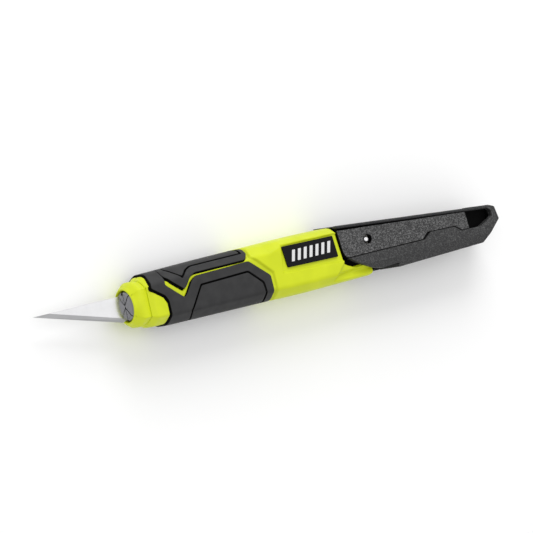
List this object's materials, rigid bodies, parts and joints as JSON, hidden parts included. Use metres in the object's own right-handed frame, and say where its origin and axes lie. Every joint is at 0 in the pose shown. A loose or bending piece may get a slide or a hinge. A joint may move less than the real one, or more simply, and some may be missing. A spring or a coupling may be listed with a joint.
{
  "type": "hobby utility knife",
  "caption": "Slim hobby utility knife: pointed blade in a slit collet, twist collar, soft-grip handle and a rear housing with a flip-up carrier of spare blades.",
  "frame": {"origin": "under the middle of the knife's bounding box, on the surface that its far side lies on", "axes": "+X from the blade to the rear end, +Y towards the blade's spine, +Z out of the near side"},
  "size_m": [0.1224, 0.0132, 0.012],
  "materials": {
    "lime_plastic": "fine satin texture, yellow-green",
    "soft_grip": "matte soft-touch moulded grip, dark grey",
    "badge": "smooth black, blank",
    "drive_steel": "plain steel",
    "black_plastic": "lightly textured black",
    "textured_plastic": "coarse spark-eroded texture, dark grey",
    "pin_steel": "bright steel pin end",
    "nylon": "natural nylon",
    "brass": "turned brass",
    "collet_steel": "fine-turned steel with a bright rim",
    "blade_steel": "polished sides, satin ground edge",
    "inner_plastic": "deep black"
  },
  "bodies": {
    "handle": {"handle_shell_near": "lime_plastic", "handle_shell_far": "lime_plastic", "grip_sleeve": "soft_grip", "grip_top": "soft_grip", "badge_near": "badge", "badge_far": "badge", "guide_sleeve": "drive_steel", "key_pin": "drive_steel", "collet_spring": "drive_steel", "rear_housing": "black_plastic", "side_plate": "textured_plastic", "hinge_pin": "pin_steel", "pin_washer_near": "nylon", "pin_washer_far": "nylon"},
    "collar": {"twist_collar": "lime_plastic", "collar_nut": "brass"},
    "chuck": {"collet": "collet_steel"},
    "blade": {"blade": "blade_steel"},
    "carrier": {"blade_carrier": "inner_plastic", "carrier_clip": "drive_steel", "spare_blade_1": "blade_steel", "spare_blade_2": "blade_steel", "spare_blade_3": "blade_steel", "spare_blade_4": "blade_steel", "spare_blade_5": "blade_steel"}
  },
  "joints": [
    {"name": "collar_twist", "type": "hinge", "parent": "handle", "child": "collar", "pos_m": [-0.0371, 0, 0.006], "axis": [1, 0, 0], "range_deg": [0, 360]},
    {"name": "collet_slide", "type": "slide", "parent": "handle", "child": "chuck", "axis": [-1, 0, 0], "range_m": [0, 0.001]},
    {"name": "blade_pull", "type": "slide", "parent": "chuck", "child": "blade", "axis": [-1, 0, 0], "range_m": [0, 0.018]},
    {"name": "carrier_flip", "type": "hinge", "parent": "handle", "child": "carrier", "pos_m": [0.0258, 0.00205, 0.006], "axis": [0, 0, 1], "range_deg": [0, 65]}
  ],
  "couplings": [
    {"joint": "collar_twist", "follows": "collet_slide", "rad_per_m": 6283.2}
  ]
}
